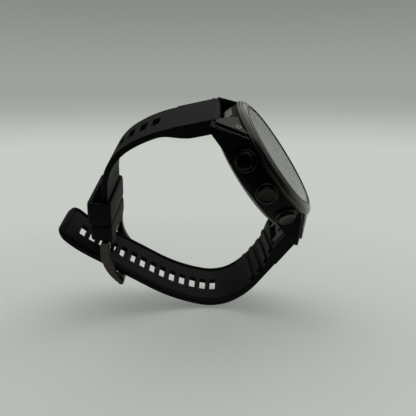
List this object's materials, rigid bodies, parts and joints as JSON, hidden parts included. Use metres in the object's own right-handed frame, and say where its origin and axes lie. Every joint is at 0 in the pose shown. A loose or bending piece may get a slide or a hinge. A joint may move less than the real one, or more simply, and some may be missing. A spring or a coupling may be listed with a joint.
{
  "type": "gps running watch",
  "caption": "Round sports watch with side buttons, metal bezel, sloping lug guards and a buckled slotted silicone band, worn closed.",
  "frame": {"origin": "middle of the case back, on the sensor window that rests on the wrist", "axes": "+Z out of the dial, +Y to 12 o'clock, +X to 3 o'clock; the closed band hangs below the case in -Z"},
  "size_m": [0.0515, 0.0779, 0.087],
  "materials": {
    "case_plastic": "fine-textured black",
    "bezel_metal": "brushed dark gunmetal coating",
    "lens_glass": "clear, polished",
    "gasket_rubber": "matt black",
    "dial_plastic": "dark, with plain marks",
    "display_glass": "dark display, off",
    "inner_plastic": "plain",
    "board": "green circuit board",
    "foil_metal": "plain foil and can",
    "antenna_metal": "plated",
    "cover_metal": "satin",
    "steel": "plain steel",
    "sensor_glass": "dark window",
    "contact_metal": "gold plated",
    "torch_plastic": "clear yellowish window",
    "button_metal": "dark satin coating",
    "guard_metal": "dark gunmetal coating",
    "silicone": "matt black silicone",
    "latch_plastic": "black",
    "buckle_metal": "brushed dark gunmetal coating"
  },
  "bodies": {
    "case": {"mid_case": "case_plastic", "bezel": "bezel_metal", "lens": "lens_glass", "lens_gasket": "gasket_rubber", "chapter_ring": "dial_plastic", "display_panel": "display_glass", "display_tray": "inner_plastic", "main_board": "board", "gps_antenna": "antenna_metal", "battery": "foil_metal", "vibration_motor": "foil_metal", "rear_gasket": "gasket_rubber", "rear_cover": "cover_metal", "rear_cover_screws": "steel", "sensor_window": "sensor_glass", "sensor_board": "board", "charging_port": "inner_plastic", "charging_contacts": "contact_metal", "torch_lens": "torch_plastic", "torch_board": "board", "button_guards": "guard_metal", "button_bushings": "steel", "button_seals": "gasket_rubber", "button_springs": "steel", "button_switches": "contact_metal", "lug_guard_12_left": "guard_metal", "lug_guard_12_right": "guard_metal", "lug_guard_6_left": "guard_metal", "lug_guard_6_right": "guard_metal", "lug_screws": "steel", "lug_pin_12": "steel", "lug_pin_6": "steel"},
    "band_12": {"strap_buckle_side": "silicone", "latch_plate_12": "latch_plastic", "latch_springs_12": "steel", "keeper_fixed": "silicone", "buckle_pin": "steel"},
    "band_6": {"strap_hole_side": "silicone", "latch_plate_6": "latch_plastic", "latch_springs_6": "steel"},
    "slider_12": {"latch_slider_12": "steel"},
    "slider_6": {"latch_slider_6": "steel"},
    "keeper": {"keeper_sliding": "silicone"},
    "frame": {"buckle_frame": "buckle_metal"},
    "tongue": {"buckle_tongue": "buckle_metal"},
    "button_light": {"button_light": "button_metal"},
    "button_up": {"button_up": "button_metal"},
    "button_down": {"button_down": "button_metal"},
    "button_start": {"button_start": "button_metal"},
    "button_back": {"button_back": "button_metal"}
  },
  "joints": [
    {"name": "band_swing_12", "type": "hinge", "parent": "case", "child": "band_12", "pos_m": [0, 0.0266, 0.0036], "axis": [1, 0, 0], "range_deg": [-1.5, 1.5], "stiffness_Nm_per_rad": 0.3},
    {"name": "band_swing_6", "type": "hinge", "parent": "case", "child": "band_6", "pos_m": [0, -0.0266, 0.0036], "axis": [1, 0, 0], "range_deg": [-1.4, 1.4]},
    {"name": "buckle_frame_turn", "type": "hinge", "parent": "band_12", "child": "frame", "pos_m": [0, 0.01109, -0.05842], "axis": [1, 0, 0], "range_deg": [-5.2, 5.2]},
    {"name": "buckle_tongue_turn", "type": "hinge", "parent": "band_12", "child": "tongue", "pos_m": [0, 0.01109, -0.05842], "axis": [1, 0, 0], "range_deg": [-5.2, 5.2]},
    {"name": "keeper_slide", "type": "slide", "parent": "band_12", "child": "keeper", "axis": [0, -0.788, -0.6157], "range_m": [-0.0045, 0.0006]},
    {"name": "latch_slide_12", "type": "slide", "parent": "band_12", "child": "slider_12", "axis": [0, 0.3907, -0.9205], "range_m": [0, 0.0022], "stiffness_N_per_m": 300, "springref_m": -0.002},
    {"name": "latch_slide_6", "type": "slide", "parent": "band_6", "child": "slider_6", "axis": [0, -0.342, -0.9397], "range_m": [0, 0.0022], "stiffness_N_per_m": 300, "springref_m": -0.002},
    {"name": "press_light", "type": "slide", "parent": "case", "child": "button_light", "axis": [0.8634, -0.5045, 0], "range_m": [0, 0.0005], "stiffness_N_per_m": 2000, "springref_m": -0.0005},
    {"name": "press_up", "type": "slide", "parent": "case", "child": "button_up", "axis": [1, 0, 0], "range_m": [0, 0.0005], "stiffness_N_per_m": 2000, "springref_m": -0.0005},
    {"name": "press_down", "type": "slide", "parent": "case", "child": "button_down", "axis": [0.8634, 0.5045, 0], "range_m": [0, 0.0005], "stiffness_N_per_m": 2000, "springref_m": -0.0005},
    {"name": "press_start", "type": "slide", "parent": "case", "child": "button_start", "axis": [-0.8634, -0.5045, 0], "range_m": [0, 0.0005], "stiffness_N_per_m": 2000, "springref_m": -0.0005},
    {"name": "press_back", "type": "slide", "parent": "case", "child": "button_back", "axis": [-0.8634, 0.5045, 0], "range_m": [0, 0.0005], "stiffness_N_per_m": 2000, "springref_m": -0.0005}
  ],
  "couplings": [
    {"joint": "band_swing_6", "follows": "band_swing_12", "ratio": 0.839},
    {"joint": "buckle_frame_turn", "follows": "band_swing_12", "ratio": -3.28},
    {"joint": "buckle_tongue_turn", "follows": "band_swing_12", "ratio": -3.28}
  ]
}
